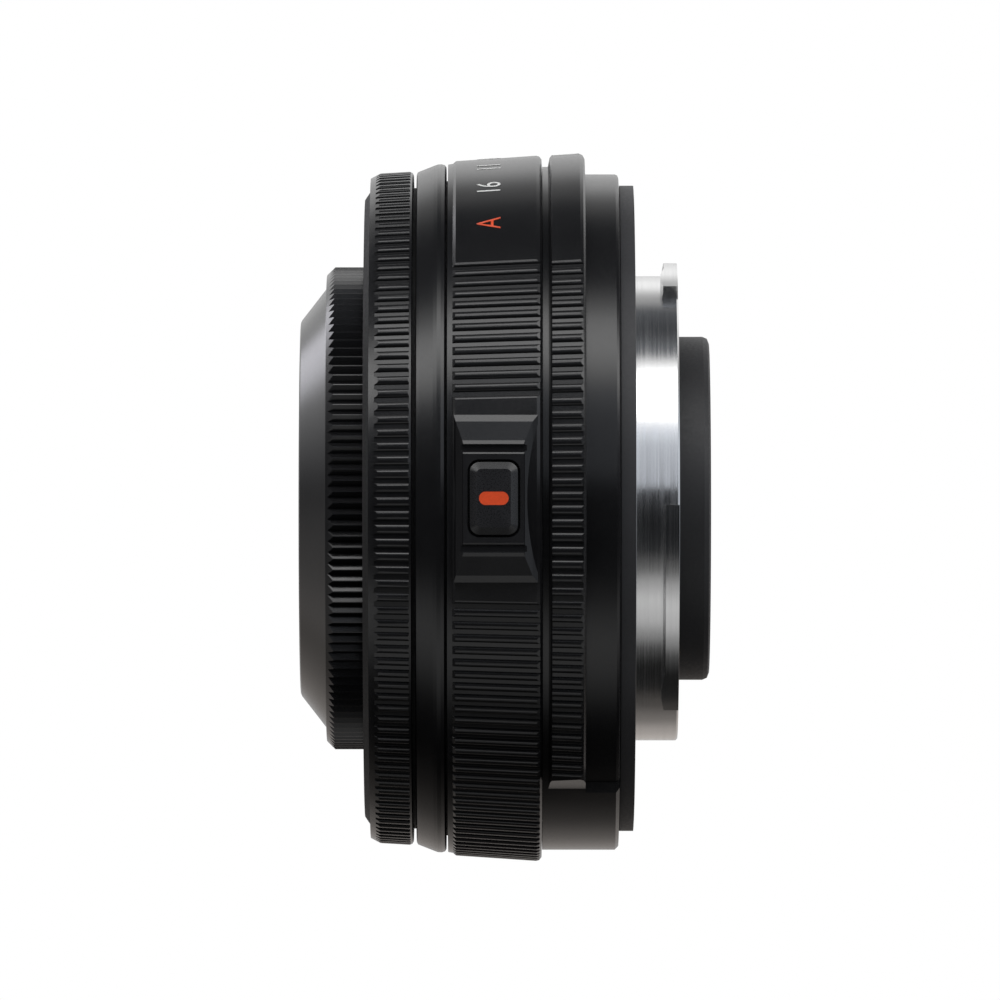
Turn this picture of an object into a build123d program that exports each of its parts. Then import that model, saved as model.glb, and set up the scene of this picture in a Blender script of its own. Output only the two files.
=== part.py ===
from build123d import *
import math
import os

# Compact prime lens with a screw-in hood. Millimetres.
# X is the optical axis: the subject is toward -X and the camera toward +X.
# X = 0 is the flange plane. +Z is the index side and -Y the release-button side.
# Angles are right-handed about +X: 0 is +Y, 90 is +Z and 180 is -Y.

RUN = 0.05                                   # running clearance on a radius

# Fixed barrel
SLEEVE_R, SLEEVE_BORE_R = 27.4, 26.2
SLEEVE_FRONT_X = -22.45
SHOULDER_X, SHOULDER_R = -8.0, 29.85
GRIP_FRONT_X, GRIP_FRONT_R = -7.3, 30.83
GRIP_REAR_X, GRIP_REAR_R = -4.3, 31.0
SKIRT_R, SKIRT_REAR_X = 29.2, -1.36
WEB_X0, WEB_X1, WEB_BORE_R = -3.2, -1.2, 21.0
LEDGE_X0, LEDGE_X1, LEDGE_BORE_R = -12.8, -10.9, 24.3
CAVITY_R = 26.4
GRIP_RIBS_FROM, GRIP_RIBS_TO = 137.4, 228.4
GRIP_RIBS = 164
BOARD_POSTS = (70.0, 150.0, 290.0)
BOARD_POST_R = 24.2
GUIDE_SCREWS = (60.0, 180.0, 250.0)
PLATE_SCREWS = (30.0, 210.0, 320.0)

# Bayonet mount
FLANGE_R = 27.3
THROAT_R, THROAT_BORE_R = 20.29, 18.4
THROAT_REAR_X = 3.8
TAB_R, TAB_X0, TAB_X1 = 21.43, 2.6, 3.76
TABS = ((179.2, 234.6), (60.0, 115.9), (300.0, 356.0))
MOUNT_SCREW_R = 24.3
MOUNT_SCREWS = (20.0, 140.0, 200.0, 320.0)
SEAT_X, SEAT_BORE_R = 0.3, 16.2
LOCK_SLOT_A = 262.0
BAFFLE_SCREWS = (10.0, 90.0, 170.0)
CONTACT_SCREWS = (236.0, 304.0)
INNER_SCREW_R = 17.1

# Control rings
FOCUS_RIBS = 155
APERTURE_RIBS = 164
RIB_HEIGHT = 0.24
VALLEY_FLOOR = 0.38
# Rounded shoulder of a rib: depth under the crest, and distance from the middle of the valley
RIB_SHOULDER = ((0.105, 0.25), (0.051, 0.33), (0.018, 0.42), (-0.006, 0.59))
BUTTON_A, BUTTON_X = 178.4, -12.2
BUTTON_STROKE = 0.6
RING_TO_OPEN, RING_TO_AUTO = 33.6, 34.1
STOP_PITCH = 11.2
CLICK_A, CLICK_X = 300.0, -15.3
SENSORS = ((20.0, -19.8), (350.0, -14.4))

# Hood
KNURLS = 136
KNURL_R = 21.07
HOOD_MOUTH_R = 11.5

# Focusing mechanism
TUBE_R, FILTER_R = 20.8, 19.5
CAM_R, CAM_FRONT_X, CAM_REAR_X = 22.2, -21.45, -10.95
CAM_ANGLE, FOCUS_TRAVEL = 80.0, 2.4
PIN_X, PIN_R = -17.2, 0.8
PIN_ANGLES = (30.0, 150.0, 270.0)
MODULE = 0.3
PINION_TEETH, CAM_TEETH, IRIS_TEETH = 10, 136, 99
MOTOR_A = 340.0
MOTOR_CENTRE_R = MODULE * (CAM_TEETH - PINION_TEETH) / 2
IRIS_MOTOR_A = 120.0
IRIS_MOTOR_CENTRE_R = MODULE * (IRIS_TEETH + PINION_TEETH) / 2

# Iris
BLADES = 7
OPEN_R = 5.2
BLADE_R, BLADE_SPAN = 7.6, 128.0
PIVOT_R, CRANK, CRANK_SWING = 8.6, 1.6, 15.0
BLADE_T, BLADE_PITCH, FIRST_BLADE_X = 0.06, 0.1, -18.44
CRANK_PIN_R = PIVOT_R + CRANK * math.cos(math.radians(CRANK_SWING))
CRANK_PIN_A = math.degrees(math.atan2(CRANK * math.sin(math.radians(CRANK_SWING)), CRANK_PIN_R))

os.makedirs("parts", exist_ok=True)


def save(name, shape):
    """Write one sub-part to its own STEP file."""
    export_step(shape, f"parts/{name}.step")


def turned(*points):
    """Solid of revolution about X through (x, r) corners."""
    return revolve(make_face(Polyline(*points, close=True)), axis=Axis.X)


def tube(x0, x1, r_in, r_out):
    """Plain ring between two radii."""
    return turned((x0, r_in), (x0, r_out), (x1, r_out), (x1, r_in))


def polar(r, a):
    """(y, z) of a point at radius r and angle a."""
    return r * math.cos(math.radians(a)), r * math.sin(math.radians(a))


def spun(shape, a):
    """Shape turned about the optical axis by a degrees."""
    return shape.rotate(Axis.X, a)


def spun_each(shape, angles):
    """One copy of the shape at every angle."""
    return [spun(shape, a) for a in angles]


def radial(a, r, x):
    """Plane that faces outward at angle a. Its x is the optical axis."""
    y, z = polar(r, a)
    return Plane(origin=(x, y, z), x_dir=(1, 0, 0), z_dir=(0, *polar(1, a)))


def axial(a, r, x):
    """Plane that faces the camera, on the point at radius r and angle a."""
    y, z = polar(r, a)
    return Plane(origin=(x, y, z), x_dir=(0, 1, 0), z_dir=(1, 0, 0))


def rod(a, r, x0, x1, rod_r):
    """Cylinder parallel to the optical axis."""
    return extrude(axial(a, r, x0) * Circle(rod_r), x1 - x0)


def stud(a, x, r0, r1, stud_r):
    """Cylinder pointing outward from r0 to r1."""
    return extrude(radial(a, r0, x) * Circle(stud_r), r1 - r0)


def prism(x0, x1, *points):
    """Straight bar along X whose section is given by (y, z) corners."""
    face = make_face(Polyline(*[(x0, y, z) for y, z in points], close=True))
    return extrude(face, x1 - x0, dir=(1, 0, 0))


def sector(x0, x1, r_in, r_out, a0, a1):
    """Part of a ring between two angles."""
    outline = [(x0, r_in, 0), (x0, r_out, 0), (x1, r_out, 0), (x1, r_in, 0)]
    return spun(revolve(make_face(Polyline(*outline, close=True)), Axis.X, a1 - a0), a0)


def solids(parts):
    """One compound of separate solids."""
    return Compound(children=[s for p in parts for s in p.solids()])


def rib_valley(start, end):
    """Bar that cuts the valley between two rounded ribs whose crest runs from start to end, both (x, r)."""
    x0, crest_r = start
    half = [(x0, crest_r - RIB_HEIGHT, VALLEY_FLOOR / 2)]
    half += [(x0, crest_r - depth, offset) for depth, offset in RIB_SHOULDER]
    half.append((x0, crest_r + 0.4, RIB_SHOULDER[-1][1]))
    section = make_face(Polyline(*half, *[(x, r, -t) for x, r, t in reversed(half)], close=True))
    along = Vector(end[0] - x0, end[1] - crest_r, 0)
    return extrude(section, along.length, dir=along.normalized())


def rib_angles(count, start, stop):
    """Valley angles from start to stop at the pitch of count ribs a turn."""
    pitch = 360 / count
    return [start + pitch * i for i in range(int((stop - start) / pitch) + 1)]


def rim_screw(a, r, head_x, length, thread_r, head_r, head_t):
    """Screw along X with its head toward the camera and its tip toward the subject."""
    head = rod(a, r, head_x - head_t, head_x, head_r)
    slot = Pos(head_x, *polar(r, a)) * Box(head_t, 0.3, 3 * head_r)
    return head + rod(a, r, head_x - head_t - length, head_x - head_t, thread_r) - slot


# Fixed barrel

def rear_barrel():
    body = turned(
        (SLEEVE_FRONT_X, SLEEVE_BORE_R), (SLEEVE_FRONT_X, SLEEVE_R), (SHOULDER_X, SLEEVE_R),
        (SHOULDER_X, SHOULDER_R), (GRIP_FRONT_X - 0.2, SHOULDER_R), (GRIP_FRONT_X - 0.05, GRIP_FRONT_R - 0.2),
        (GRIP_FRONT_X + 0.1, GRIP_FRONT_R), (GRIP_REAR_X - 0.45, GRIP_REAR_R),
        (GRIP_REAR_X - 0.18, GRIP_REAR_R - 0.12), (GRIP_REAR_X, GRIP_REAR_R - 0.45), (GRIP_REAR_X, SKIRT_R),
        (SKIRT_REAR_X - 0.3, SKIRT_R), (SKIRT_REAR_X - 0.09, SKIRT_R - 0.09), (SKIRT_REAR_X, SKIRT_R - 0.3),
        (SKIRT_REAR_X, 26.95), (WEB_X1, 26.95), (WEB_X1, WEB_BORE_R), (WEB_X0, WEB_BORE_R),
        (WEB_X0, CAVITY_R), (LEDGE_X1, CAVITY_R), (LEDGE_X1, LEDGE_BORE_R),
        (LEDGE_X0, LEDGE_BORE_R), (LEDGE_X0, SLEEVE_BORE_R),
    )
    valley = rib_valley((GRIP_FRONT_X + 0.09, 30.83), (GRIP_REAR_X - 0.24, 31.01))
    ribbed = rib_angles(GRIP_RIBS, GRIP_RIBS_FROM, GRIP_RIBS_TO)
    cuts = spun_each(valley, ribbed + [540 - a for a in ribbed])
    cuts.append(grip_gap())
    latch_half = 2.1
    cuts.append(sector(BUTTON_X - 0.7, BUTTON_X + 0.7, 26.45, 28,
                       BUTTON_A - RING_TO_AUTO - latch_half, BUTTON_A + RING_TO_OPEN + latch_half))
    cuts.append(stud(CLICK_A, CLICK_X, 25, 28, 0.63))
    cuts += [extrude(radial(a, 24, x) * Rectangle(1.3, 4.4), 4) for a, x in SENSORS]
    cuts += [rod(a, MOUNT_SCREW_R, WEB_X0 - 1, WEB_X1 + 1, 0.85) for a in MOUNT_SCREWS]
    cuts += [rod(a, 25.25, LEDGE_X0 - 1, LEDGE_X1 + 1, 0.55) for a in GUIDE_SCREWS]
    cuts += [rod(a, 25.25, LEDGE_X0 - 1, LEDGE_X1 + 1, 0.55) for a in PLATE_SCREWS]
    posts = [rod(a, BOARD_POST_R, -4.4, WEB_X0 + 0.5, 1.3) for a in BOARD_POSTS]
    holes = [rod(a, BOARD_POST_R, -5, WEB_X0 + 0.6, 0.6) for a in BOARD_POSTS]
    return body - cuts + [bottom_pad(), *posts] - holes


def grip_gap():
    """Space between the two lower ends of the grip band, down to the pad."""
    outline = [(-22.1, -22.84), (-17.54, -24.15), (-14, -25.2)]
    mirrored = [(-y, z) for y, z in reversed(outline)]
    x0, x1 = GRIP_FRONT_X - 0.2, GRIP_REAR_X + 0.1
    return prism(x0, x1, *outline, *mirrored, (22.1, -33), (-22.1, -33)) - tube(x0, x1, 1, SHOULDER_R)


def bottom_pad():
    """Raised pad under the barrel, with slanted side walls."""
    x0 = GRIP_FRONT_X - 0.2
    ring = turned(
        (x0, 28), (x0, SHOULDER_R), (SKIRT_REAR_X - 0.3, SHOULDER_R), (SKIRT_REAR_X, SHOULDER_R - 0.3),
        (SKIRT_REAR_X, 28),
    )
    return ring & prism(x0, SKIRT_REAR_X, (-17.4, -22.4), (-15.76, -32), (15.76, -32), (17.4, -22.4))


def smooth_band():
    return turned(
        (-18.93, SLEEVE_R), (-18.93, 29.2), (-18.84, 29.38), (-18.63, 29.47), (-17.4, 29.96), (-17.1, 30.06),
        (-16.75, 30.08), (-16.47, 30.0), (-16.35, 29.8), (-16.35, SLEEVE_R),
    )


def front_cover():
    return turned(
        (-23.45, 21.35), (-23.45, 26.97), (-22.97, 27.68), (-22.45, 27.68), (-22.45, 26.15), (-20.9, 26.15),
        (-20.9, 25.3), (-22.45, 25.3), (-22.45, 21.35),
    )


def base_ring():
    return turned(
        (SKIRT_REAR_X, 27.0), (SKIRT_REAR_X, 27.95), (-1.27, 27.95), (-1.27, 28.21), (-0.05, 28.21),
        (-0.05, 27.85), (-0.5, 27.85), (-0.5, 27.35), (WEB_X1, 27.35), (WEB_X1, 27.0),
    )


def mount_gasket():
    return turned((-0.5, 27.37), (-0.5, 27.83), (-0.1, 27.83), (-0.02, 27.7), (-0.02, 27.45), (-0.15, 27.37))


def tab(a0, a1):
    """One bayonet tab with a sloped front face and a wider, tapered heel at a1."""
    root_r = THROAT_R - 0.4
    outline = [(TAB_X0 - 0.3, root_r, 0), (TAB_X0, TAB_R, 0), (TAB_X1, TAB_R, 0), (TAB_X1, root_r, 0)]
    lug = spun(revolve(make_face(Polyline(*outline, close=True)), Axis.X, a1 - a0), a0)
    heel = [(0.3, 0), (-0.12, 0), (-0.33, 1.6), (-0.33, 2.8), (0, 4.9), (0.3, 4.9)]
    face = radial(a1, root_r - 1, TAB_X0) * make_face(Polyline(*heel, close=True))
    block = extrude(face, 4, dir=(0, *polar(1, a1)))
    return lug + (block & tube(TAB_X0 - 1, TAB_X1, root_r, TAB_R))


def bayonet_mount():
    body = turned(
        (WEB_X1 - 1.4, 20.95), (WEB_X1, 20.95), (WEB_X1, FLANGE_R), (-0.15, FLANGE_R), (0, FLANGE_R - 0.15),
        (0, THROAT_R), (THROAT_REAR_X - 0.15, THROAT_R), (THROAT_REAR_X, THROAT_R - 0.15),
        (THROAT_REAR_X, THROAT_BORE_R + 0.3), (THROAT_REAR_X - 0.3, THROAT_BORE_R),
        (SEAT_X, THROAT_BORE_R), (SEAT_X, SEAT_BORE_R), (-0.9, SEAT_BORE_R), (-0.9, THROAT_BORE_R),
        (WEB_X1 - 1.4, THROAT_BORE_R),
    )
    body = body + [tab(a0, a1) for a0, a1 in TABS]
    cuts = [rod(a, MOUNT_SCREW_R, -2, 1, 0.9) for a in MOUNT_SCREWS]
    cuts += [rod(a, MOUNT_SCREW_R, -0.6, 1, 1.65) for a in MOUNT_SCREWS]
    cuts += [rod(a, INNER_SCREW_R, -2, 1, 0.6) for a in BAFFLE_SCREWS]
    cuts += [rod(a, INNER_SCREW_R, -2, 1, 0.6) for a in CONTACT_SCREWS]
    slot = extrude(axial(LOCK_SLOT_A, 23.6, -1) * Rot(0, 0, LOCK_SLOT_A) * SlotOverall(3.2, 2.0), 2)
    return body - cuts - slot


def mount_screws():
    return solids(rim_screw(a, MOUNT_SCREW_R, -0.05, 2.4, 0.84, 1.6, 0.55) for a in MOUNT_SCREWS)


def rear_baffle():
    body = turned(
        (-0.9, 14.2), (-0.9, 15.0), (SEAT_X, 15.0), (SEAT_X, 18.3), (1.2, 18.3), (1.2, 15.0), (6.0, 15.0),
        (6.4, 14.83), (6.57, 14.4), (6.57, 0), (5.7, 0), (5.7, 14.2),
    )
    gate = extrude(Plane.YZ.offset(5) * RectangleRounded(20.4, 14.6, 1.6), 3)
    funnel = loft([
        Plane.YZ.offset(6.1) * RectangleRounded(20.4, 14.6, 1.6),
        Plane.YZ.offset(6.58) * RectangleRounded(21.8, 16.0, 2.3),
    ])
    cuts = [rod(a, INNER_SCREW_R, -1, 3, 0.7) for a in BAFFLE_SCREWS]
    return body - gate - funnel - cuts - sector(SEAT_X - 0.1, 2, 15.03, 19, 270 - 42, 270 + 42)


def baffle_screws():
    """Three identical screws of the baffle and two of the contact block."""
    seats = [(a, 1.2) for a in BAFFLE_SCREWS] + [(a, 2.0) for a in CONTACT_SCREWS]
    return solids(rim_screw(a, INNER_SCREW_R, seat + 0.4, 2.4, 0.58, 0.95, 0.4) for a, seat in seats)


def contact_block():
    body = sector(SEAT_X, 2.9, 15.06, 18.3, 270 - 41, 270 + 41)
    body = body - [rod(a, INNER_SCREW_R, 0, 4, 0.6) for a in CONTACT_SCREWS]
    body = body - [rod(a, INNER_SCREW_R, 2.0, 4, 1.0) for a in CONTACT_SCREWS]
    return body - [rod(a, 16.7, 0, 4, 0.42) for a in contact_angles()]


def contact_angles():
    """Ten contacts spread evenly across the block."""
    return [270 + 5.6 * (i - 4.5) for i in range(10)]


def contact_pins():
    return solids(rod(a, 16.7, SEAT_X, 3.0, 0.42) + rod(a, 16.7, 3.0, 3.1, 0.3) for a in contact_angles())


def main_board():
    plate = sector(-5.0, -4.4, 14.9, 25.8, 32, 308)
    cuts = [rod(a, BOARD_POST_R, -6, -4, 0.7) for a in BOARD_POSTS]
    return plate - cuts


def board_chips():
    places = ((50, 20, 4.0, 3.0), (100, 20, 5.0, 5.0), (125, 20.5, 3.0, 3.0), (200, 20, 5.0, 4.0),
              (235, 19.5, 3.0, 2.4), (265, 20, 4.0, 4.0))
    chips = []
    for a, r, width, height in places:
        chips.append(extrude(axial(a, r, -5.8) * Rot(0, 0, a) * Rectangle(height, width), 0.8))
    return solids(chips)


# Focusing drive

def guide_sleeve():
    body = turned(
        (-22.3, 21.3), (-22.3, 23.3), (-13.6, 23.3), (-13.6, 26.1), (LEDGE_X0, 26.1),
        (LEDGE_X0, CAM_R + RUN), (CAM_FRONT_X - RUN, CAM_R + RUN), (CAM_FRONT_X - RUN, 21.3),
    )
    slot_x = PIN_X - FOCUS_TRAVEL / 2
    slots = [extrude(radial(a, 21.8, slot_x) * SlotCenterToCenter(FOCUS_TRAVEL + 0.1, 2 * PIN_R + 0.06), 2)
             for a in PIN_ANGLES]
    holes = [rod(a, 25.25, -15, -12, 0.6) for a in GUIDE_SCREWS]
    return body - slots - holes


def pan_screw(a, r, seat_x, way):
    """Small pan-head screw on a seat, with its head on the side that way (-1 or 1) gives."""
    screw = Pos(0, 0, 0.2) * Cylinder(0.85, 0.4) + Pos(0, 0, -1.1) * Cylinder(0.54, 2.2)
    screw = screw - Pos(0, 0, 0.4) * Box(0.25, 3, 0.4)
    y, z = polar(r, a)
    return Plane(origin=(seat_x, y, z), x_dir=(0, 1, 0), z_dir=(way, 0, 0)) * screw


def drive_screws():
    parts = [pan_screw(a, 25.25, -13.6, -1) for a in GUIDE_SCREWS]
    parts += [pan_screw(a, 25.25, -10.1, 1) for a in PLATE_SCREWS]
    parts += [pan_screw(a, BOARD_POST_R, -5.0, -1) for a in BOARD_POSTS]
    return solids(parts)


def gear_plate():
    plate = tube(LEDGE_X1, -10.1, 14.6, 26.1) - sector(-12, -9, 14, 23, 90, 250)
    cuts = [rod(a, 25.25, -12, -9, 0.6) for a in PLATE_SCREWS]
    cuts.append(rod(MOTOR_A, MOTOR_CENTRE_R, -12, -9, 0.95))
    return plate - cuts


def tooth_flank(teeth, a_shift):
    """(radius, half angle) down one involute flank of an external tooth."""
    pitch_r = MODULE * teeth / 2
    base_r = pitch_r * math.cos(math.radians(20))
    tip_r = pitch_r + 0.8 * MODULE
    half = 90 / teeth - a_shift
    inv20 = math.tan(math.radians(20)) - math.radians(20)
    points = []
    for i in range(5):
        r = base_r + (tip_r - base_r) * i / 4
        pressure = math.acos(base_r / r)
        points.append((r, half + math.degrees(inv20 - math.tan(pressure) + pressure)))
    return points


def pinion(x0, x1):
    """Ten-tooth involute pinion centred on the optical axis, one tooth at angle 0."""
    pitch_r = MODULE * PINION_TEETH / 2
    root_r = pitch_r - MODULE
    flank = tooth_flank(PINION_TEETH, 1.2)
    outline = []
    for i in range(PINION_TEETH):
        a = 360 * i / PINION_TEETH
        outline.append(polar(root_r, a - flank[0][1]))
        outline += [polar(r, a - h) for r, h in flank]
        outline += [polar(r, a + h) for r, h in reversed(flank)]
        outline.append(polar(root_r, a + flank[0][1]))
    return prism(x0, x1, *outline)


def cam_ring():
    body = tube(CAM_FRONT_X, CAM_REAR_X, TUBE_R + RUN, CAM_R)
    rim = sector(-12.4, CAM_REAR_X, CAM_TEETH * MODULE / 2 - 0.24, CAM_R - 0.5, MOTOR_A - 90, MOTOR_A + 10)
    pitch_r = CAM_TEETH * MODULE / 2
    half = math.pi * MODULE / 4 + 0.02
    slope = math.tan(math.radians(20))
    low, high = pitch_r - 0.4, pitch_r + 0.32
    space = prism(
        -13, -10, (low, half + 0.4 * slope), (high, half - 0.32 * slope),
        (high, 0.32 * slope - half), (low, -half - 0.4 * slope),
    )
    pitch = 360 / CAM_TEETH
    count = int(100 / pitch)
    teeth = spun_each(space, [MOTOR_A + pitch * (3 - i) for i in range(count)])
    body = body + rim - teeth
    lead = FOCUS_TRAVEL * 360 / CAM_ANGLE
    path = Helix(lead, FOCUS_TRAVEL, CAM_R - 0.6, direction=(1, 0, 0))
    mouth = Plane(path @ 0, x_dir=(1, 0, 0), z_dir=path % 0) * Rectangle(2 * PIN_R + 0.06, 3)
    start = math.degrees(math.atan2((path @ 0).Z, (path @ 0).Y))
    groove = sweep(mouth, path=path, is_frenet=True)
    groove = Pos(PIN_X - FOCUS_TRAVEL, 0, 0) * spun(groove, -start)
    ends = [stud(0, PIN_X - FOCUS_TRAVEL, 20, 24, PIN_R + 0.05), stud(CAM_ANGLE, PIN_X, 20, 24, PIN_R + 0.05)]
    for a in PIN_ANGLES:
        body -= spun_each(groove, [a - CAM_ANGLE])
        body -= [spun(end, a - CAM_ANGLE) for end in ends]
    return body


def motor_pinion():
    gear = pinion(-12.35, -11.05)
    shaft = Pos(-12.6, 0, 0) * extrude(Plane.YZ * Circle(0.4), 6.2)
    return Pos(0, *polar(MOTOR_CENTRE_R, MOTOR_A)) * spun(gear + shaft, MOTOR_A)


def focus_motor():
    can = rod(MOTOR_A, MOTOR_CENTRE_R, -10.1, -4.4, 2.95)
    can = chamfer(can.edges().filter_by(GeomType.CIRCLE).sort_by(Axis.X)[-1], 0.3)
    boss = rod(MOTOR_A, MOTOR_CENTRE_R, -10.9, -10.1, 0.95)
    return can + boss - rod(MOTOR_A, MOTOR_CENTRE_R, -12, -6.3, 0.45)


# Focus ring

def focus_ring():
    body = turned(
        (-22.95, 27.75), (-22.95, 28.83), (-22.12, 29.26), (-22.0, 29.28), (-19.55, 29.42), (-19.3, 29.32),
        (-19.2, 29.1), (-19.2, 28.5), (-20.35, 28.5), (-20.35, SLEEVE_R + RUN), (-22.4, SLEEVE_R + RUN),
        (-22.4, 27.75),
    )
    valley = rib_valley((-22.45, 29.25), (-19.46, 29.43))
    return body - spun_each(valley, rib_angles(FOCUS_RIBS, 180, 539.5))


def focus_comb():
    band = tube(-20.35, -19.25, 27.85, 28.5)
    notch = prism(-20.1, -19.0, (27, 0.5), (28.2, 0.5), (28.2, -0.5), (27, -0.5))
    return band - spun_each(notch, [4 * i for i in range(90)])


def slip_ring(x0, x1, r_out):
    return tube(x0, x1, SLEEVE_R + 0.02, r_out)


# Aperture ring

def pedestal():
    """Raised seat of the release button, with two cross grooves inside its bevelled ends."""
    foot_at = radial(BUTTON_A, 30.15, BUTTON_X + 0.17)
    base = radial(BUTTON_A, 30.45, BUTTON_X + 0.03)
    brow = radial(BUTTON_A, 30.91, BUTTON_X - 0.02)
    top = radial(BUTTON_A, 31.05, BUTTON_X - 0.02)
    foot = extrude(foot_at * Rectangle(7.2, 14.3), -1.3)
    ledge = loft([foot_at * Rectangle(7.2, 14.3), base * Rectangle(6.55, 13.15)])
    seat = loft([base * Rectangle(6.55, 13.15), brow * Rectangle(5.34, 9.9)])
    crown = loft([brow * Rectangle(5.34, 9.9), top * Rectangle(5.18, 9.28)])
    return foot + ledge + seat + crown - [cross_groove(side) for side in (-1, 1)]


def cross_groove(side):
    """Groove across the seat: steep beside the ridge and bevelled beside the button. side is -1 or 1."""
    y, z = polar(31.05, BUTTON_A)
    section = [(4.62, 0.1), (4.56, -0.26), (4.08, -0.26), (3.93, -0.08), (3.8, 0), (3.8, 0.1)]
    at = Plane(origin=(BUTTON_X - 4, y, z), x_dir=(0, *polar(1, BUTTON_A - 90 * side)), z_dir=(side, 0, 0))
    return extrude(at * make_face(Polyline(*section, close=True)), 8, dir=(1, 0, 0))


def aperture_ring():
    body = turned(
        (-16.2, SLEEVE_R + RUN), (-16.2, 30.05), (-15.75, 30.13), (-15.7, 30.2), (-15.5, 30.36), (-8.53, 30.83),
        (-8.25, 30.76), (-8.05, 30.5), (-8.05, SLEEVE_R + RUN),
    )
    relief = sector(-14.6, -9.8, 27, 28.7, BUTTON_A + 18, BUTTON_A + 342)
    valley = rib_valley((-15.76, 30.34), (-8.22, 30.85))
    cuts = spun_each(valley, rib_angles(APERTURE_RIBS, 137.0, BUTTON_A - 15.6))
    cuts += spun_each(valley, rib_angles(APERTURE_RIBS, BUTTON_A + 17.6, 408))
    body = body - relief - cuts + pedestal()
    clicks = [CLICK_A + STOP_PITCH / 3 * i for i in range(-9, 7)] + [CLICK_A + RING_TO_AUTO]
    groove = prism(-16.3, -14.6, (27.2, 0.62), (27.57, 0.1), (27.57, -0.1), (27.2, -0.62))
    body = body - spun_each(groove, clicks)
    well = extrude(radial(BUTTON_A, 26.5, BUTTON_X) * RectangleRounded(5.6, 7.7, 1.2), 2.8)
    shaft = extrude(radial(BUTTON_A, 28, BUTTON_X) * RectangleRounded(4.5, 6.65, 1.0), 5)
    return body - well - shaft


def ring_sensors():
    """One identical reader under each control ring."""
    return solids(extrude(radial(a, 25.2, x) * Rectangle(1.2, 4.2), 2.05) for a, x in SENSORS)


def click_ball():
    return radial(CLICK_A, SLEEVE_R + RUN + 0.04 - 0.6, CLICK_X) * Sphere(0.6)


def click_spring():
    strip = sector(CLICK_X - 0.8, CLICK_X + 0.8, 26.03, SLEEVE_BORE_R, CLICK_A - 9, CLICK_A + 9)
    return strip + stud(CLICK_A, CLICK_X, 26.05, 26.29, 0.35)


# Release button

def lock_button():
    at = radial(BUTTON_A, 0, BUTTON_X)
    cap = extrude(at * Pos(0, 0, 28.8) * RectangleRounded(4.1, 6.2, 0.85), 2.25)
    crown = loft([
        at * Pos(0, 0, 31.05) * RectangleRounded(4.1, 6.2, 0.85),
        at * Pos(0, 0, 31.5) * RectangleRounded(2.9, 5.0, 0.35),
    ])
    flange = extrude(at * Pos(0, 0, 28.8) * RectangleRounded(5.4, 7.5, 1.1), 0.5)
    stem = extrude(at * Pos(0, 0, 27.2) * Rectangle(1.0, 1.6), 1.6)
    recess = extrude(at * Pos(0, 0, 31.38) * SlotOverall(2.54, 1.16), 0.2)
    return cap + crown + flange + stem - recess


def button_mark():
    at = radial(BUTTON_A, 31.38, BUTTON_X)
    return extrude(at * SlotOverall(2.54, 1.16), 0.1)


def button_plate():
    at = radial(BUTTON_A, 27.55, BUTTON_X)
    plate = extrude(at * RectangleRounded(5.6, 7.7, 1.2), 0.3)
    return plate - extrude(at * Rectangle(1.2, 1.8), 1)


def button_spring():
    turn = Helix(0.27, 0.81, 1.3, cone_angle=0)
    wire = sweep(Plane(turn @ 0, z_dir=turn % 0) * Circle(0.07), path=turn, is_frenet=True)
    return radial(BUTTON_A, 27.92, BUTTON_X) * wire


# Focusing unit

def inner_barrel():
    body = turned(
        (-23.5, FILTER_R), (-23.5, TUBE_R), (-15.0, TUBE_R), (-15.0, FILTER_R), (-18.9, FILTER_R),
        (-18.9, 13.0), (-13.5, 13.0), (-13.5, 12.0), (-21.0, 12.0), (-21.0, 13.0), (-20.2, 13.0),
        (-20.2, FILTER_R),
    )
    posts = [iris_post(side) for side in (-1, 1)]
    window = sector(-17.9, -17.0, 11, 14, IRIS_MOTOR_A - 12, IRIS_MOTOR_A + 13)
    holes = [stud(a, PIN_X, 19, 22, 0.6) for a in PIN_ANGLES]
    return body + posts - window - holes


def iris_post(side):
    """Standoff that carries one ear of the iris motor."""
    y, z = polar(IRIS_MOTOR_CENTRE_R, IRIS_MOTOR_A)
    dy, dz = polar(3.6 * side, IRIS_MOTOR_A + 90)
    return Pos(-19.2, y + dy, z + dz) * extrude(Plane.YZ * Circle(0.9), 2.2)


def follower_pins():
    return solids(stud(a, PIN_X, 19.7, TUBE_R, 0.58) + stud(a, PIN_X, TUBE_R, 23.2, PIN_R) for a in PIN_ANGLES)


def name_ring():
    steps = 7
    front, back, r_in, r_out = -25.4, -22.0, 9.7, 18.6
    stair = []
    for i in range(steps):
        x = front + (back - front) * i / (steps - 1)
        r0 = r_in + (r_out - r_in) * i / steps
        r1 = r_in + (r_out - r_in) * (i + 1) / steps
        stair += [(x, r0), (x + 0.1, r1)]
    return turned(
        (front, 9.25), *stair, (-20.2, r_out), (-20.2, 17.9), (-20.9, 17.9), (-24.3, 9.25),
    )


def front_cell():
    return turned(
        (-26.0, 7.85), (-26.0, 9.0), (-25.8, 9.2), (-21.6, 9.2), (-21.6, 12.9), (-21.0, 12.9), (-21.0, 11.9),
        (-19.3, 11.9), (-19.3, 6.85), (-21.68, 6.85), (-21.68, 6.3), (-22.84, 6.3), (-22.84, 7.65),
        (-25.8, 7.65),
    )


def surface_x(vertex_x, curve_r, r):
    """X of a spherical surface at height r. A positive radius has its centre toward the camera."""
    return vertex_x + curve_r - math.copysign(math.sqrt(curve_r**2 - r**2), curve_r)


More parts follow.
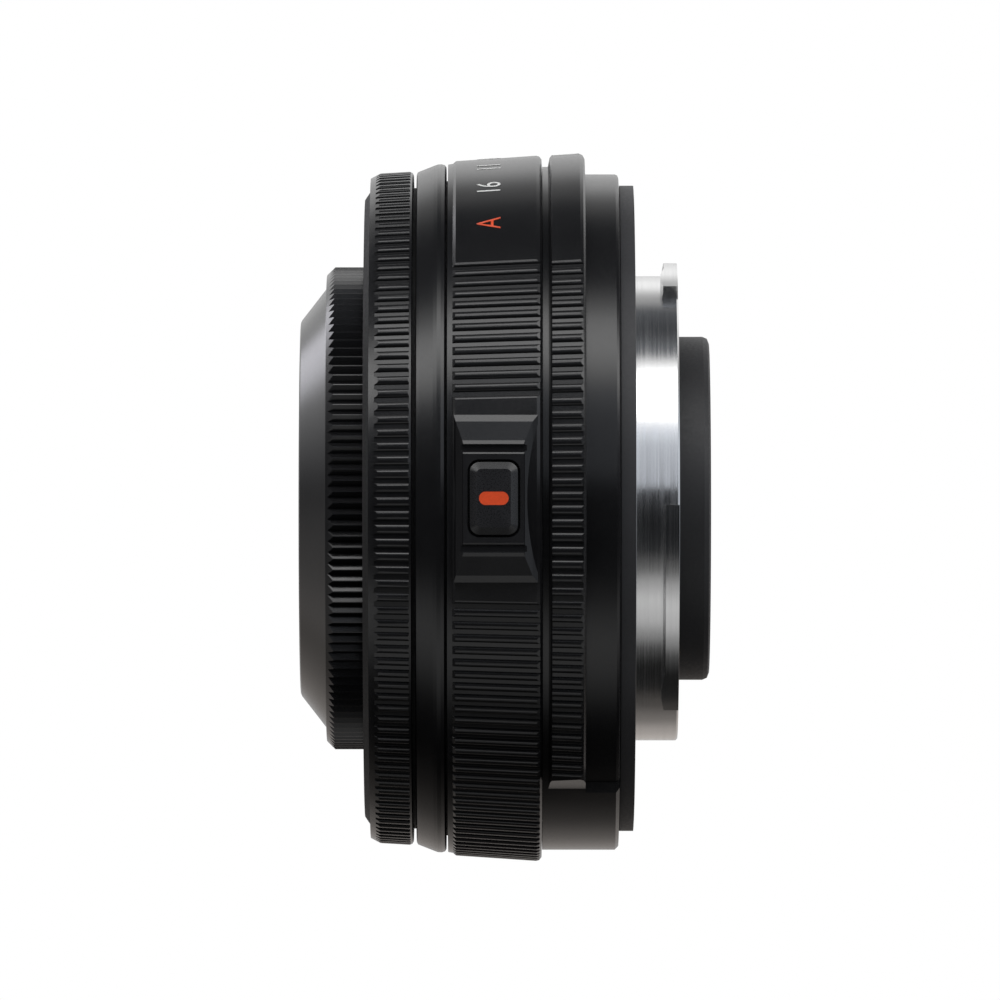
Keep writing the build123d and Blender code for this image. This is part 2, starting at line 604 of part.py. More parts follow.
def element(front_x, front_r, rear_x, rear_r, edge_r):
    """Glass element between two spherical surfaces."""
    mid = edge_r / 2
    front = ThreePointArc(
        (front_x, 0), (surface_x(front_x, front_r, mid), mid), (surface_x(front_x, front_r, edge_r), edge_r))
    rear = ThreePointArc(
        (rear_x, 0), (surface_x(rear_x, rear_r, mid), mid), (surface_x(rear_x, rear_r, edge_r), edge_r))
    outline = Curve() + [front, Line(front @ 1, rear @ 1), rear, Line(rear @ 0, front @ 0)]
    return revolve(make_face(outline), axis=Axis.X)


def rear_cell():
    return turned(
        (-16.5, 6.65), (-16.5, 11.9), (-13.5, 11.9), (-13.5, 12.9), (-12.9, 12.9), (-12.9, 11.6), (-4.8, 11.6),
        (-4.6, 11.4), (-4.6, 10.25), (-4.8, 10.05), (-7.54, 10.05), (-7.54, 8.25), (-11.74, 8.25), (-11.74, 6.0),
        (-13.05, 6.0), (-13.05, 6.65),
    )


# Iris

def iris_base():
    body = turned(
        (-19.2, OPEN_R), (-19.2, 11.9), (-17.1, 11.9), (-17.1, 11.3), (-18.5, 11.3), (-18.5, OPEN_R),
    )
    pivots = [rod(360 / BLADES * i, PIVOT_R, -18.95, -18, 0.32) for i in range(BLADES)]
    window = sector(-17.9, -17.0, 11, 14, IRIS_MOTOR_A - 12, IRIS_MOTOR_A + 13)
    return body - pivots - window


def iris_blade(i):
    band = Circle(BLADE_R) - Circle(OPEN_R)
    reach = [(0, 0)] + [polar(20, BLADE_SPAN * k / 4) for k in range(5)]
    band = band & make_face(Polyline(*reach, close=True))
    tip = Pos(*polar((OPEN_R + BLADE_R) / 2, BLADE_SPAN)) * Circle((BLADE_R - OPEN_R) / 2)
    crank = (PIVOT_R + CRANK * math.cos(math.radians(CRANK_SWING)), -CRANK * math.sin(math.radians(CRANK_SWING)))
    lobes = [Pos(PIVOT_R, 0) * Circle(0.8), Pos(*crank) * Circle(0.55), Pos(*polar(6.45, 6)) * Circle(1.1)]
    ear = make_hull([e for lobe in lobes for e in lobe.edges()])
    x = FIRST_BLADE_X + BLADE_PITCH * i
    leaf = Pos(x, 0, 0) * extrude(Plane.YZ * (band + tip + ear), BLADE_T)
    pivot = Pos(-18.9, PIVOT_R, 0) * extrude(Plane.YZ * Circle(0.3), x + BLADE_T + 18.9)
    drive = Pos(x, *crank) * extrude(Plane.YZ * Circle(0.28), -17.3 - x)
    return spun(leaf + pivot + drive, 360 / BLADES * i)


def iris_ring():
    x0, x1 = -17.7, -17.2
    disc = tube(x0, x1, OPEN_R + 0.4, 11.25)
    pitch_r = IRIS_TEETH * MODULE / 2
    arm = sector(x0, x1, 11.0, pitch_r + 0.22, IRIS_MOTOR_A - 10, IRIS_MOTOR_A + 6)
    half = math.pi * MODULE / 4 + 0.02
    slope = math.tan(math.radians(20))
    low, high = pitch_r - 0.32, pitch_r + 0.4
    space = prism(
        x0 - 1, x1 + 1, (low, half - 0.32 * slope), (high, half + 0.4 * slope),
        (high, -half - 0.4 * slope), (low, 0.32 * slope - half),
    )
    pitch = 360 / IRIS_TEETH
    spaces = spun_each(space, [IRIS_MOTOR_A + pitch * k for k in range(-3, 3)])
    slot = extrude(axial(0, CRANK_PIN_R + 0.03, x0 - 1) * SlotCenterToCenter(0.14, 0.62), 3)
    slots = spun_each(slot, [360 / BLADES * i - CRANK_PIN_A for i in range(BLADES)])
    return disc + arm - spaces - slots


def iris_motor():
    y, z = polar(IRIS_MOTOR_CENTRE_R, IRIS_MOTOR_A)
    can = extrude(Plane.YZ * Circle(2.5), 3.7)
    can = Pos(-16.6, 0, 0) * can
    ears = extrude(Plane.YZ.offset(-17.0) * Rot(0, 0, IRIS_MOTOR_A + 90) * SlotOverall(9.0, 1.8), 0.4)
    hub = Pos(-17.0, 0, 0) * extrude(Plane.YZ * Circle(2.3), 0.4)
    bore = Pos(-17.5, 0, 0) * extrude(Plane.YZ * Circle(0.45), 3.3)
    return Pos(0, y, z) * (can + ears + hub - bore)


def iris_pinion():
    gear = pinion(-17.75, -17.1)
    shaft = Pos(-17.85, 0, 0) * extrude(Plane.YZ * Circle(0.4), 3.4)
    turn = IRIS_MOTOR_A + 180
    return Pos(0, *polar(IRIS_MOTOR_CENTRE_R, IRIS_MOTOR_A)) * spun(gear + shaft, turn)


# Hood

def hood():
    body = turned(
        (-29.06, HOOD_MOUTH_R + 0.5), (-29.06, 16.2), (-28.96, 16.44), (-26.78, 19.25), (-26.78, 20.35),
        (-26.72, 20.43), (-26.06, KNURL_R), (-23.5, KNURL_R), (-23.5, 19.42), (-21.9, 19.42), (-21.9, 18.7),
        (-25.0, 18.7), (-28.3, 14.6), (-28.3, HOOD_MOUTH_R), (-28.7, HOOD_MOUTH_R),
    )
    groove = prism(-26.77, -23.3, (20.62, 0), (21.4, 0.78), (21.4, -0.78))
    return body - spun_each(groove, [360 / KNURLS * i for i in range(KNURLS)])


save("rear_barrel", rear_barrel())
save("smooth_band", smooth_band())
save("front_cover", front_cover())
save("base_ring", base_ring())
save("mount_gasket", mount_gasket())
save("bayonet_mount", bayonet_mount())
save("mount_screws", mount_screws())
save("rear_baffle", rear_baffle())
save("baffle_screws", baffle_screws())
save("contact_block", contact_block())
save("contact_pins", contact_pins())
save("main_board", main_board())
save("board_chips", board_chips())
save("guide_sleeve", guide_sleeve())
save("drive_screws", drive_screws())
save("gear_plate", gear_plate())
save("cam_ring", cam_ring())
save("focus_motor", focus_motor())
save("motor_pinion", motor_pinion())
save("focus_ring", focus_ring())
save("focus_comb", focus_comb())
save("focus_slip_ring", slip_ring(-19.2, -18.93, 28.0))
save("aperture_ring", aperture_ring())
save("aperture_slip_ring", slip_ring(-16.35, -16.2, 28.6))
save("ring_sensors", ring_sensors())
save("click_ball", click_ball())
save("click_spring", click_spring())
save("lock_button", lock_button())
save("button_mark", button_mark())
save("button_plate", button_plate())
save("button_spring", button_spring())
save("inner_barrel", inner_barrel())
save("follower_pins", follower_pins())
save("name_ring", name_ring())
save("front_cell", front_cell())
save("front_retainer", tube(-25.4, -24.8, 6.9, 7.63))
save("doublet_retainer", tube(-19.82, -19.35, 6.2, 6.83))
save("rear_cell", rear_cell())
save("rear_spacer", tube(-9.88, -7.68, 7.6, 8.22))
save("rear_retainer", tube(-6.14, -5.2, 9.3, 10.03))
save("element_1", element(-25.6, 30, -24.2, 22, 7.6))
save("element_2", element(-22.6, 22, -20.3, -30, 6.8))
save("element_3", element(-20.3, -30, -19.5, -60, 6.8))
save("element_4", element(-15.2, -25, -14.5, 30, 6.6))
save("element_5", element(-14.5, 30, -12.6, -40, 6.6))
save("element_6", element(-10.6, -30, -9.4, -60, 8.2))
save("element_7", element(-8.4, 40, -5.6, -80, 10.0))
save("iris_base", iris_base())
save("iris_motor", iris_motor())
save("iris_pinion", iris_pinion())
save("iris_ring", iris_ring())
for blade in range(BLADES):
    save(f"iris_blade_{blade + 1}", iris_blade(blade))
save("hood", hood())
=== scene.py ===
import math

import bpy
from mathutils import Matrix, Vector


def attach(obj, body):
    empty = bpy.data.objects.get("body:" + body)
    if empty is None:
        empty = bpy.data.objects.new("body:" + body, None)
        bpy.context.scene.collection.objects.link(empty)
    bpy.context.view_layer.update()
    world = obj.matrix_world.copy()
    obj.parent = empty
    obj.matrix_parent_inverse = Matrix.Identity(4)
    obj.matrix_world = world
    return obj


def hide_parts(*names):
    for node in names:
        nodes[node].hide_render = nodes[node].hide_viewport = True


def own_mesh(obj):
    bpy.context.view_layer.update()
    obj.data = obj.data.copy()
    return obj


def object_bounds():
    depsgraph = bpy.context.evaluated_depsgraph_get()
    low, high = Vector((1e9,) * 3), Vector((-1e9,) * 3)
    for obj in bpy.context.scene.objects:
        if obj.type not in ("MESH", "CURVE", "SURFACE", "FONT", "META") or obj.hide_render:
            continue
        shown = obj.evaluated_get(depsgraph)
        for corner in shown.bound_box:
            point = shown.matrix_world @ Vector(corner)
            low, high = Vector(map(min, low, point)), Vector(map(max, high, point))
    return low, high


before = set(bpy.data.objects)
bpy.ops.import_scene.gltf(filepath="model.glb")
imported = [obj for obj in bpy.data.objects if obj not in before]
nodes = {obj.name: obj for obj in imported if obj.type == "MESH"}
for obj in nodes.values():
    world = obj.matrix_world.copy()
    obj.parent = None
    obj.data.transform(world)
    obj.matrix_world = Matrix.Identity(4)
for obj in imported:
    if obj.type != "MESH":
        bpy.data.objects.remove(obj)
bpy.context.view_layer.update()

MM = 0.001

# Plain band of the aperture ring and of the grip, as (front, rear) in x and in radius, in millimetres
BAND_X, BAND_R = (-15.5, -8.53), (30.36, 30.83)
GRIP_X, GRIP_R = (-7.2, -4.85), (30.83, 31.0)

SCALE = (("A", 126.5), ("16", 114.8), ("11", 103.8), ("8", 92.6), ("5.6", 81.4), ("4", 70.2), ("2.8", 59.0))
SCALE_X = (-13.68, -11.62)             # top and foot of the figures
FIGURE_NARROW = 0.86                   # width of the figures against the typeface's own
FIGURE_THIN, FIGURE_CURVE = -0.006, 6  # how far the typeface's outline is drawn in, and steps in a curve
INDEX_A, INDEX_HALF = 92.6, 0.17       # angle of the index line, and half its width
INDEX_X, INDEX_LENGTH, INDEX_STEPS = -7.18, 2.4, 24
MARK_LIFT, MARK_DEPTH = 0.012, 0.03    # middle of a mark above the surface, and its thickness

FLOOR_DROP, FLOOR_HALF = 0.035, 0.48   # below the object, and half the side
FLOOR_TONES = (0.80, 0.80, 0.80), (0.82, 0.82, 0.82)
CAMERA_AT = (-0.011675, -1.2, 0.000726)
CAMERA_LENS, CAMERA_SENSOR, CAMERA_NEAR = 494.0, 36.0, 0.01

NEUTRAL, COOL, WARM = (1.0, 1.0, 1.0), (0.92, 0.97, 1.06), (1.06, 0.98, 0.92)
PANEL_TOP = 4.0                        # radiance that the colour ramp calls 1, above the brightest panel
PANELS = (                             # degrees about X, radiance, tint
    (-180, 0.58, NEUTRAL), (-160, 0.48, WARM), (-144, 0.38, WARM), (-128, 0.18, WARM), (-112, 0.07, WARM),
    (-98, 0.015, NEUTRAL), (-84, 0.01, NEUTRAL), (-74, 0.06, NEUTRAL), (-66, 0.28, NEUTRAL),
    (-56, 0.56, NEUTRAL), (-46, 0.66, NEUTRAL), (-38, 0.46, NEUTRAL), (-29, 0.12, NEUTRAL),
    (-20, 0.02, COOL), (-6, 0.012, COOL), (6, 0.03, COOL), (18, 0.05, COOL), (30, 0.10, COOL),
    (40, 0.40, COOL), (48, 2.4, NEUTRAL), (56, 3.6, NEUTRAL), (66, 3.3, NEUTRAL), (75, 1.1, NEUTRAL),
    (84, 0.14, COOL), (100, 0.06, COOL), (114, 0.10, COOL), (128, 0.45, NEUTRAL), (146, 1.15, NEUTRAL),
    (165, 0.85, NEUTRAL), (180, 0.58, NEUTRAL),
)
LEFT_END = (0.10, 0.10, 0.105)
RIGHT_LOW, RIGHT_HIGH = (0.30, 0.32, 0.35), (0.70, 0.75, 0.82)

# Shares of X or Z in a direction, between which one thing fades into the next
END_FADE = (0.80, 0.99)                # ring of panels, end
SIDE_FADE = (-0.2, 0.2)                # left end, right end
HEIGHT_FADE = (-0.3, 0.35)             # lower part of the right end, upper part

LAMPS = (                              # direction, full within, gone at, radiance, tint
    ((-0.66, 0.62, 0.42), 4, 14, 2.7, (1.0, 0.99, 1.08)),
    ((-0.92, 0.32, -0.22), 4, 20, 0.3, (1.04, 1.0, 0.98)),
    ((-0.84, 0.44, 0.32), 6, 22, 0.4, (1.0, 1.0, 1.04)),
)
SOFTBOX_SIZE, SOFTBOX_RADIANCE = (0.44, 0.26), 0.65
SOFTBOX_FRONT_X = -0.010               # front edge
SOFTBOX_AWAY, SOFTBOX_UP = 0.42, 0.20  # centre, toward the viewer and up

WHITE = (0.86, 0.86, 0.84)
RED = (0.85, 0.085, 0.018)
BLACK, BLACK_LIGHT = (0.0065, 0.0065, 0.0072), (0.0095, 0.0095, 0.0102)


# ---------------------------------------------------------------- node graphs

class Graph:
    """Short calls for adding nodes to a tree."""

    def __init__(self, tree):
        self.tree = tree

    def add(self, kind, **settings):
        node = self.tree.nodes.new(kind)
        for key, value in settings.items():
            setattr(node, key, value)
        return node

    def link(self, source, target):
        self.tree.links.new(source, target)

    def feed(self, value, socket):
        """Set a socket to a number or a colour, or link another socket to it."""
        if isinstance(value, (int, float)):
            socket.default_value = value
        elif isinstance(value, tuple):
            socket.default_value = (*value, 1)
        else:
            self.link(value, socket)

    def math(self, operation, *values):
        node = self.add("ShaderNodeMath", operation=operation)
        for value, socket in zip(values, node.inputs):
            self.feed(value, socket)
        return node.outputs[0]

    def mix(self, factor, a, b, blend="MIX"):
        node = self.add("ShaderNodeMix", data_type="RGBA", blend_type=blend)
        for value, socket in ((factor, node.inputs[0]), (a, node.inputs[6]), (b, node.inputs[7])):
            self.feed(value, socket)
        return node.outputs[2]

    def spread(self, value, low, high, lo=0.3, hi=0.7, ease="LINEAR"):
        """Map value from lo..hi to low..high."""
        node = self.add("ShaderNodeMapRange", interpolation_type=ease)
        for name, number in (("From Min", lo), ("From Max", hi), ("To Min", low), ("To Max", high)):
            node.inputs[name].default_value = number
        self.link(value, node.inputs["Value"])
        return node.outputs["Result"]


# ---------------------------------------------------------------- materials

class Surface(Graph):
    """A Principled material."""

    def __init__(self, name, **inputs):
        self.material = bpy.data.materials.new(name)
        self.material.use_nodes = True
        super().__init__(self.material.node_tree)
        self.shader = self.tree.nodes["Principled BSDF"]
        for key, value in inputs.items():
            self.feed(value, self.shader.inputs[key.replace("_", " ")])
        self.coords = self.add("ShaderNodeTexCoord").outputs["Object"]

    def wire(self, source, name):
        """Link a socket to one of the shader's inputs."""
        self.link(source, self.shader.inputs[name])

    def noise(self, scale, detail=3.0, rough=0.5, coords=None):
        """Noise pattern, 0 to 1, with its scale in cycles per metre."""
        node = self.add("ShaderNodeTexNoise")
        node.inputs["Scale"].default_value = scale
        node.inputs["Detail"].default_value = detail
        node.inputs["Roughness"].default_value = rough
        self.link(coords or self.coords, node.inputs["Vector"])
        return node.outputs["Fac"]

    def bump(self, height, distance, strength):
        """Fine relief from a pattern, with its depth in metres."""
        node = self.add("ShaderNodeBump")
        node.inputs["Distance"].default_value = distance
        node.inputs["Strength"].default_value = strength
        self.link(height, node.inputs["Height"])
        self.wire(node.outputs["Normal"], "Normal")

    def turned_coords(self, axial_scale, around_scale):
        """Coordinates in which noise draws out into fine rings around the optical axis."""
        split = self.add("ShaderNodeSeparateXYZ")
        self.link(self.coords, split.inputs[0])
        x, y, z = split.outputs
        square = self.math("ADD", self.math("MULTIPLY", y, y), self.math("MULTIPLY", z, z))
        join = self.add("ShaderNodeCombineXYZ")
        self.link(self.math("MULTIPLY", x, axial_scale), join.inputs[0])
        self.link(self.math("MULTIPLY", self.math("SQRT", square), axial_scale), join.inputs[1])
        scaled = self.add("ShaderNodeVectorMath", operation="SCALE")
        self.link(self.coords, scaled.inputs[0])
        scaled.inputs["Scale"].default_value = around_scale
        total = self.add("ShaderNodeVectorMath", operation="ADD")
        self.link(join.outputs[0], total.inputs[0])
        self.link(scaled.outputs[0], total.inputs[1])
        return total.outputs[0]


def toned(colour, by):
    """A colour made lighter or darker."""
    return tuple(c * by for c in colour)


def anodised(name, dark, light, rough):
    """Bead-blasted black anodised aluminium: fine grain, faint blotches and worn edges."""
    s = Surface(name, Metallic=0.0, Roughness=rough)
    blotch = s.noise(260.0, detail=4.0, rough=0.6)
    grit = s.noise(9000.0, detail=2.0, rough=0.7)
    tone = s.mix(s.spread(blotch, 0.0, 1.0), dark, light)
    wear = s.spread(s.add("ShaderNodeNewGeometry").outputs["Pointiness"], 0.0, 0.5, lo=0.53, hi=0.62)
    s.wire(s.mix(wear, tone, toned(light, 2.6)), "Base Color")
    s.wire(s.spread(grit, rough - 0.05, rough + 0.07), "Roughness")
    s.bump(grit, distance=3.5e-6, strength=0.6)
    return s.material


def moulded(name, colour, rough, specular=0.5):
    """Fine-textured black plastic."""
    s = Surface(name, Roughness=rough, Specular_IOR_Level=specular)
    grain = s.noise(4200.0, rough=0.6)
    cloud = s.noise(150.0)
    s.wire(s.mix(s.spread(cloud, 0.0, 1.0), colour, toned(colour, 1.35)), "Base Color")
    s.wire(s.spread(grain, rough - 0.06, rough + 0.08), "Roughness")
    s.bump(grain, distance=4e-6, strength=0.7)
    return s.material


def turned_metal(name, colour, rough):
    """Plated metal with the fine rings that a lathe leaves."""
    s = Surface(name, Metallic=1.0, Roughness=rough)
    rings = s.noise(1.0, detail=2.0, rough=0.6, coords=s.turned_coords(9000.0, 60.0))
    smear = s.noise(180.0, detail=4.0, rough=0.6)
    bright = tuple(min(1.0, c) for c in toned(colour, 1.06))
    s.wire(s.mix(s.spread(smear, 0.0, 1.0), colour, bright), "Base Color")
    s.wire(s.spread(rings, rough - 0.05, rough + 0.07), "Roughness")
    s.bump(rings, distance=1.2e-6, strength=0.5)
    return s.material


def paint(name, colour, rough):
    """Filled-in engraving paint, slightly uneven."""
    s = Surface(name, Roughness=rough)
    speck = s.noise(5200.0, rough=0.6)
    s.wire(s.mix(s.spread(speck, 0.0, 1.0), colour, toned(colour, 0.86)), "Base Color")
    s.bump(speck, distance=3e-6, strength=0.5)
    return s.material


def coated_glass(name, tint):
    """Optical glass whose coating gives a faint coloured reflection."""
    s = Surface(name, Roughness=0.02, IOR=1.62, Transmission_Weight=1.0, Specular_Tint=tint,
                Coat_Weight=0.3, Coat_Tint=tint)
    dust = s.noise(2400.0, detail=4.0, rough=0.7)
    s.wire(s.spread(dust, 0.012, 0.05, lo=0.55, hi=0.8), "Roughness")
    dusty = s.spread(dust, 0.0, 1.0, lo=0.6, hi=0.9)
    s.wire(s.mix(dusty, (0.97, 0.985, 1.0), (0.9, 0.93, 0.96)), "Base Color")
    return s.material


def board_mask(name):
    """Green solder mask over faint tracks."""
    s = Surface(name, Roughness=0.35)
    tracks = s.add("ShaderNodeTexVoronoi", distance="MANHATTAN", feature="DISTANCE_TO_EDGE")
    tracks.inputs["Scale"].default_value = 700.0
    s.link(s.coords, tracks.inputs["Vector"])
    line = s.spread(tracks.outputs["Distance"], 1.0, 0.0, lo=0.04, hi=0.08)
    s.wire(s.mix(line, (0.008, 0.07, 0.03), (0.02, 0.14, 0.06)), "Base Color")
    s.bump(line, distance=1e-5, strength=0.5)
    return s.material


SKIN = {
    "ring": anodised("ring_anodised", BLACK, BLACK_LIGHT, 0.19),
    "barrel": anodised("barrel_anodised", BLACK, BLACK_LIGHT, 0.20),
    "hood": anodised("hood_anodised", BLACK, BLACK_LIGHT, 0.17),
    "button": anodised("button_anodised", (0.010, 0.010, 0.011), (0.014, 0.014, 0.0155), 0.28),
    "inner": anodised("inner_anodised", (0.010, 0.010, 0.011), (0.015, 0.015, 0.016), 0.5),
    "plastic": moulded("matte_moulding", (0.018, 0.018, 0.0195), 0.55),
    "base": moulded("base_moulding", (0.022, 0.022, 0.0245), 0.55),
    "cover": moulded("cover_moulding", (0.007, 0.007, 0.0075), 0.6, 0.2),
    "rubber": moulded("seal_rubber", (0.012, 0.012, 0.012), 0.75),
    "chip": moulded("chip_moulding", (0.02, 0.02, 0.02), 0.5),
    "slip": moulded("slip_polymer", (0.010, 0.010, 0.010), 0.6),
    "chrome": turned_metal("bayonet_chrome", (0.70, 0.70, 0.70), 0.16),
    "screw": turned_metal("screw_plate", (0.42, 0.42, 0.43), 0.34),
    "steel": turned_metal("plain_steel", (0.6, 0.6, 0.61), 0.3),
    "gold": turned_metal("contact_gold", (0.95, 0.68, 0.30), 0.22),
    "brass": turned_metal("gear_brass", (0.82, 0.62, 0.30), 0.3),
    "red": paint("mark_red", RED, 0.42),
    "white": paint("mark_white", WHITE, 0.45),
    "blade": moulded("blade_coat", (0.014, 0.014, 0.014), 0.5),
    "board": board_mask("board_mask"),
    "front_glass": coated_glass("front_glass", (0.55, 0.9, 0.72)),
    "glass": coated_glass("inner_glass", (0.75, 0.7, 1.0)),
}

WEARS = {
    "ring": ("focus_ring", "aperture_ring"),
    "barrel": ("rear_barrel", "smooth_band"),
    "hood": ("hood",),
    "button": ("lock_button",),
    "inner": ("inner_barrel", "front_cell", "rear_cell", "rear_spacer", "rear_retainer", "front_retainer",
              "doublet_retainer", "guide_sleeve", "cam_ring", "gear_plate", "button_plate"),
    "plastic": ("rear_baffle", "contact_block", "iris_base", "iris_ring", "focus_comb", "name_ring"),
    "base": ("base_ring",),
    "cover": ("front_cover",),
    "rubber": ("mount_gasket",),
    "chip": ("board_chips", "ring_sensors"),
    "slip": ("focus_slip_ring", "aperture_slip_ring"),
    "chrome": ("bayonet_mount",),
    "screw": ("mount_screws", "baffle_screws", "drive_screws"),
    "steel": ("focus_motor", "iris_motor", "click_ball", "click_spring", "button_spring", "follower_pins"),
    "gold": ("contact_pins",),
    "brass": ("motor_pinion", "iris_pinion"),
    "red": ("button_mark",),
    "blade": tuple(f"iris_blade_{i}" for i in range(1, 8)),
    "board": ("main_board",),
    "front_glass": ("element_1", "element_7"),
    "glass": tuple(f"element_{i}" for i in range(2, 7)),
}


def dress(node, material):
    """Give a CAD node one material on every face."""
    data = nodes[node].data
    data.materials.clear()
    data.materials.append(material)
    for face in data.polygons:
        face.material_index = 0


for key, members in WEARS.items():
    for member in members:
        dress(member, SKIN[key])


# ---------------------------------------------------------------- printed marks

def place(name, data):
    """An object of that name in the scene."""
    piece = bpy.data.objects.new(name, data)
    bpy.context.scene.collection.objects.link(piece)
    return piece


def mark_radius(x, ends_x, ends_r):
    """Radius for a mark at x on a cone with the given ends, all in millimetres."""
    t = (x - ends_x[0]) / (ends_x[1] - ends_x[0])
    return ends_r[0] + t * (ends_r[1] - ends_r[0]) + MARK_LIFT


def around(x, r, a):
    """Point in metres at x and r in millimetres and a in radians about the optical axis."""
    return Vector((x, r * math.cos(a), r * math.sin(a))) * MM


def printed(name, mesh, material):
    """A flat mesh as a thin mark."""
    mesh.materials.append(material)
    piece = place(name, mesh)
    skin = piece.modifiers.new("depth", "SOLIDIFY")
    skin.thickness = MARK_DEPTH * MM
    skin.offset = 0
    return piece


def lettering(text):
    """Flat mesh of a text, centred on x = 0, in the typeface's own units."""
    curve = bpy.data.curves.new("figure_" + text, "FONT")
    curve.body = text
    curve.align_x = "CENTER"
    curve.size = 1.0
    curve.resolution_u = FIGURE_CURVE
    curve.offset = FIGURE_THIN
    piece = place("figure_" + text.replace(".", "_"), curve)
    bpy.context.view_layer.update()
    mesh = bpy.data.meshes.new_from_object(piece.evaluated_get(bpy.context.evaluated_depsgraph_get()))
    bpy.data.objects.remove(piece)
    return mesh


def figure(text, angle, material, body):
    """A figure of the aperture scale, wrapped round the ring with its top toward the front."""
    mesh = lettering(text)
    low = min(v.co.y for v in mesh.vertices)
    tall = max(v.co.y for v in mesh.vertices) - low
    size = (SCALE_X[1] - SCALE_X[0]) / tall
    for v in mesh.vertices:
        x = SCALE_X[1] - (v.co.y - low) * size
        r = mark_radius(x, BAND_X, BAND_R)
        v.co = around(x, r, math.radians(angle) - v.co.x * size * FIGURE_NARROW / r)
    solid = printed("figure_" + text.replace(".", "_"), mesh, material)
    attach(solid, body)
    return solid


for text, angle in SCALE:
    mark = figure(text, angle, SKIN["red" if text == "A" else "white"], "aperture_control")


def index_line():
    """White index line across the plain top of the grip band."""
    verts = []
    for i in range(INDEX_STEPS + 1):
        x = INDEX_X + INDEX_LENGTH * i / INDEX_STEPS
        r = mark_radius(x, GRIP_X, GRIP_R)
        verts += [around(x, r, math.radians(INDEX_A) + side * INDEX_HALF / r) for side in (-1, 1)]
    faces = [(2 * i, 2 * i + 1, 2 * i + 3, 2 * i + 2) for i in range(INDEX_STEPS)]
    mesh = bpy.data.meshes.new("index_line")
    mesh.from_pydata(verts, [], faces)
    line = printed("index_line", mesh, SKIN["white"])
    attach(line, "barrel")


index_line()


# ---------------------------------------------------------------- spring

def button_coil():
    """The button spring again, as its own piece carried with the aperture control."""
    coil = place("button_coil", nodes["button_spring"].data.copy())
    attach(coil, "aperture_control")
    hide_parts("button_spring")
    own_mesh(coil)


button_coil()


# ---------------------------------------------------------------- stage

def build_floor():
    """Pale sheet below the object. It takes the shadow but throws no light back up on the black finish."""
    z = float(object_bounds()[0][2]) - FLOOR_DROP
    mesh = bpy.data.meshes.new("floor")
    corners = ((-1, -1), (1, -1), (1, 1), (-1, 1))
    mesh.from_pydata([(x * FLOOR_HALF, y * FLOOR_HALF, z) for x, y in corners], [], [(0, 1, 2, 3)])
    floor = place("floor", mesh)
    floor.visible_diffuse = False
    floor.visible_glossy = False
    s = Surface("floor_white", Roughness=0.9)
    s.wire(s.mix(s.spread(s.noise(30.0), 0.0, 1.0), *FLOOR_TONES), "Base Color")
    mesh.materials.append(s.material)


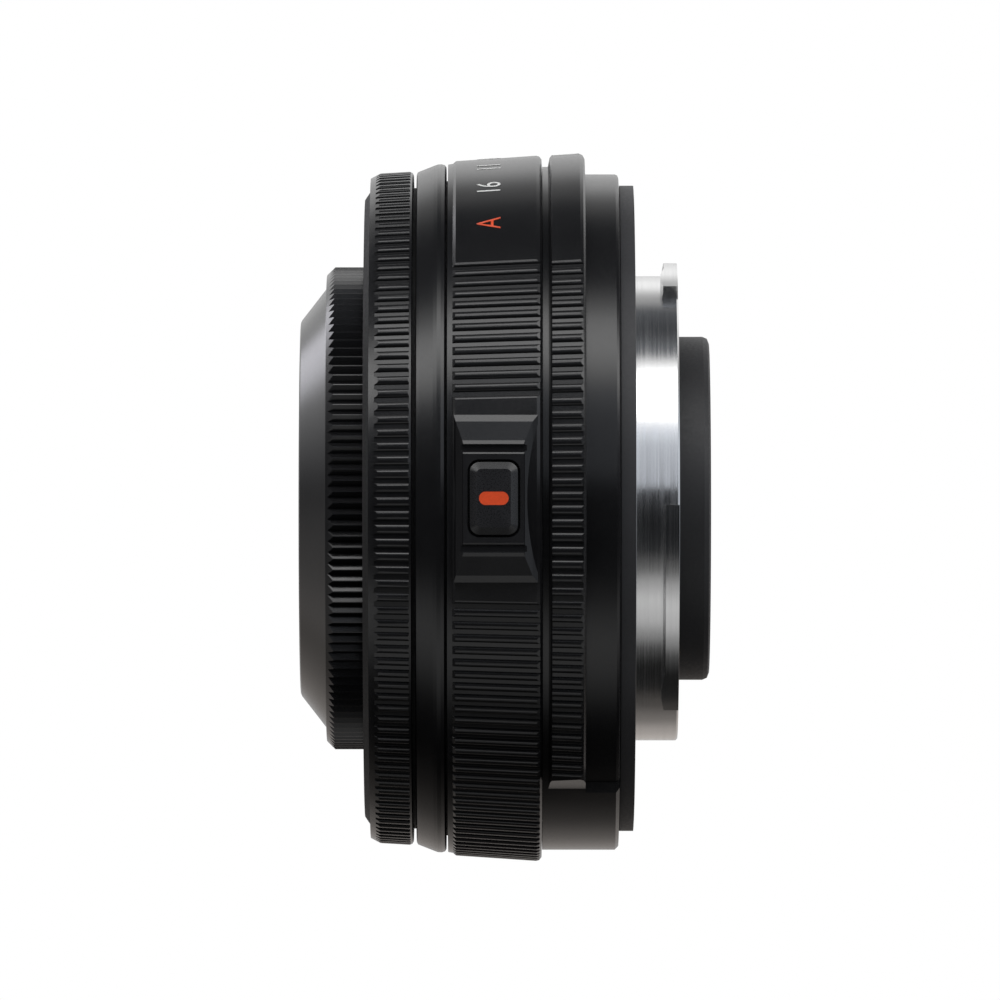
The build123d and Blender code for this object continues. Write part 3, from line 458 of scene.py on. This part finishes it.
class Studio(Graph):
    """Light from all round, painted on the world."""

    def __init__(self):
        self.world = bpy.data.worlds.new("studio")
        self.world.use_nodes = True
        super().__init__(self.world.node_tree)
        self.tree.nodes.clear()
        split = self.add("ShaderNodeSeparateXYZ")
        self.way = self.add("ShaderNodeTexCoord").outputs["Generated"]
        self.link(self.way, split.inputs[0])
        self.x, self.y, self.z = split.outputs

    def step(self, value, start, stop):
        """Smooth rise from 0 to 1 as value goes from start to stop."""
        return self.spread(value, 0.0, 1.0, start, stop, "SMOOTHSTEP")

    def ring(self, stops):
        """Colour by the angle about X: 0 is level with the camera, 90 overhead, 180 behind."""
        angle = self.math("ARCTAN2", self.z, self.math("MULTIPLY", self.y, -1.0))
        turn = self.math("ADD", self.math("DIVIDE", angle, 2 * math.pi), 0.5)
        ramp = self.add("ShaderNodeValToRGB")
        ramp.color_ramp.interpolation = "EASE"
        marks = ramp.color_ramp.elements
        while len(marks) < len(stops):
            marks.new(0.5)
        for mark, (degrees, power, tint) in zip(marks, stops):
            mark.position = degrees / 360 + 0.5
            mark.color = (*[power * t / PANEL_TOP for t in tint], 1)
        self.link(turn, ramp.inputs[0])
        return self.mix(1.0, ramp.outputs[0], (PANEL_TOP,) * 3, "MULTIPLY")

    def lamp(self, colour, direction, inner, outer, power, tint):
        """Add a soft round lamp: full within inner degrees of direction, gone at outer."""
        dot = self.add("ShaderNodeVectorMath", operation="DOT_PRODUCT")
        self.link(self.way, dot.inputs[0])
        dot.inputs[1].default_value = Vector(direction).normalized()
        glow = self.step(dot.outputs["Value"], math.cos(math.radians(outer)), math.cos(math.radians(inner)))
        return self.mix(glow, colour, self.mix(1.0, colour, tuple(power * t for t in tint), "ADD"))

    def finish(self, colour):
        """The colour lights the object, and the camera sees plain white behind it."""
        lights = self.add("ShaderNodeBackground")
        self.link(colour, lights.inputs["Color"])
        backdrop = self.add("ShaderNodeBackground")
        swap = self.add("ShaderNodeMixShader")
        self.link(self.add("ShaderNodeLightPath").outputs["Is Camera Ray"], swap.inputs[0])
        self.link(lights.outputs[0], swap.inputs[1])
        self.link(backdrop.outputs[0], swap.inputs[2])
        self.feed((1, 1, 1), backdrop.inputs["Color"])
        self.link(swap.outputs[0], self.add("ShaderNodeOutputWorld").inputs["Surface"])
        bpy.context.scene.world = self.world


def build_world():
    """A ring of soft panels about X, closed by an end toward -X and one toward +X, and the lamps."""
    studio = Studio()
    colour = studio.ring(PANELS)
    side = studio.step(studio.math("ABSOLUTE", studio.x), *END_FADE)
    right = studio.step(studio.x, *SIDE_FADE)
    right_end = studio.mix(studio.step(studio.z, *HEIGHT_FADE), RIGHT_LOW, RIGHT_HIGH)
    colour = studio.mix(side, colour, studio.mix(right, LEFT_END, right_end))
    for lamp in LAMPS:
        colour = studio.lamp(colour, *lamp)
    studio.finish(colour)


def right_panel():
    """Cool softbox above the viewer, reaching rearward from the middle of the object."""
    light = bpy.data.lights.new("right_panel", "AREA")
    light.shape = "RECTANGLE"
    light.size, light.size_y = SOFTBOX_SIZE
    light.energy = SOFTBOX_RADIANCE * math.pi * light.size * light.size_y
    light.color = COOL
    lamp = place("right_panel", light)
    lamp.location = (SOFTBOX_FRONT_X + light.size / 2, -SOFTBOX_AWAY, SOFTBOX_UP)
    lamp.rotation_euler = (math.atan2(SOFTBOX_AWAY, SOFTBOX_UP), 0, 0)


def build_camera():
    """Long lens on the viewer's side, level, looking along +Y."""
    data = bpy.data.cameras.new("camera")
    data.lens = CAMERA_LENS
    data.sensor_width = CAMERA_SENSOR
    data.clip_start = CAMERA_NEAR
    camera = place("camera", data)
    camera.location = CAMERA_AT
    camera.rotation_euler = (math.pi / 2, 0, 0)
    bpy.context.scene.camera = camera


build_floor()
build_world()
right_panel()
build_camera()
bpy.context.scene.view_settings.view_transform = "Standard"
